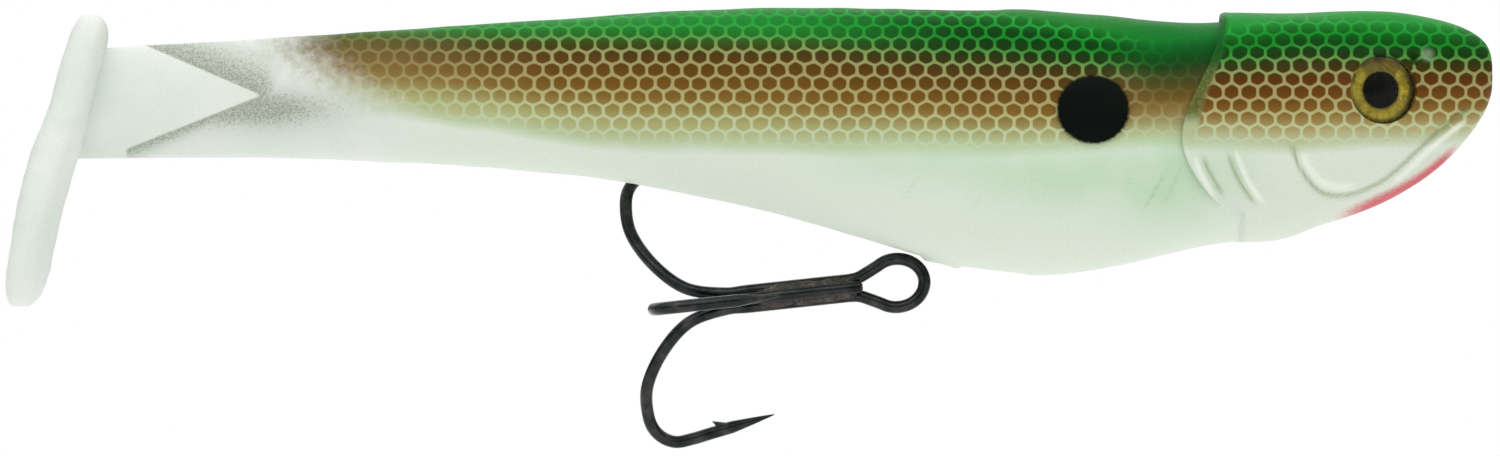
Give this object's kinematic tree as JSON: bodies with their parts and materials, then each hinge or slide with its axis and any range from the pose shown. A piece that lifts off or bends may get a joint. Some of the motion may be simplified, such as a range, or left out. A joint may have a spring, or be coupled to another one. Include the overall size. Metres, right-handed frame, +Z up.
{
  "type": "soft swimbait",
  "caption": "Line-through soft swimbait with a boot tail that bends on a flexible stem, domed eyes, internal weights and a treble hook that swings down from under the belly.",
  "frame": {"origin": "centre of the line hole in the nose", "axes": "+X forwards out of the nose along the line, +Z up to the back, -Y to the right flank"},
  "size_m": [0.1524, 0.0269, 0.0453],
  "materials": {
    "soft_body": "soft plastic, painted green over brown and pearl white",
    "clear_lens": "clear domed resin",
    "gold_foil": "metallic foil",
    "black_disc": "black disc",
    "black_nickel": "black nickel plated steel",
    "braze": "plated over braze",
    "tube_plastic": "slick white tube",
    "sleeve_plastic": "hard plastic sleeve",
    "lead": "dull cast lead",
    "webbing": "woven strip"
  },
  "bodies": {
    "front": {"head": "soft_body", "body_front": "soft_body", "left_eye_lens": "clear_lens", "right_eye_lens": "clear_lens", "left_iris_foil": "gold_foil", "right_iris_foil": "gold_foil", "left_pupil": "black_disc", "right_pupil": "black_disc", "line_tube": "tube_plastic", "nose_sleeve": "sleeve_plastic", "belly_sleeve": "sleeve_plastic", "head_weight": "lead", "keel_weight": "lead", "core_web_front": "webbing"},
    "stem": {"body_rear": "soft_body", "core_web_rear": "webbing"},
    "tail": {"boot_tail": "soft_body"},
    "hook": {"treble_double_wire": "black_nickel", "treble_third_wire": "black_nickel", "treble_braze": "braze"}
  },
  "joints": [
    {"name": "body_flex", "type": "hinge", "parent": "front", "child": "stem", "pos_m": [-0.101, 0, 0], "axis": [0, 0, 1], "range_deg": [-25, 25], "stiffness_Nm_per_rad": 0.02},
    {"name": "tail_flex", "type": "hinge", "parent": "stem", "child": "tail", "pos_m": [-0.1395, 0, 0], "axis": [0, 0, 1], "range_deg": [-35, 35], "stiffness_Nm_per_rad": 0.004},
    {"name": "hook_swing", "type": "hinge", "parent": "front", "child": "hook", "pos_m": [-0.06105, 0, -0.02124], "axis": [0, -1, 0], "range_deg": [0, 95]}
  ]
}
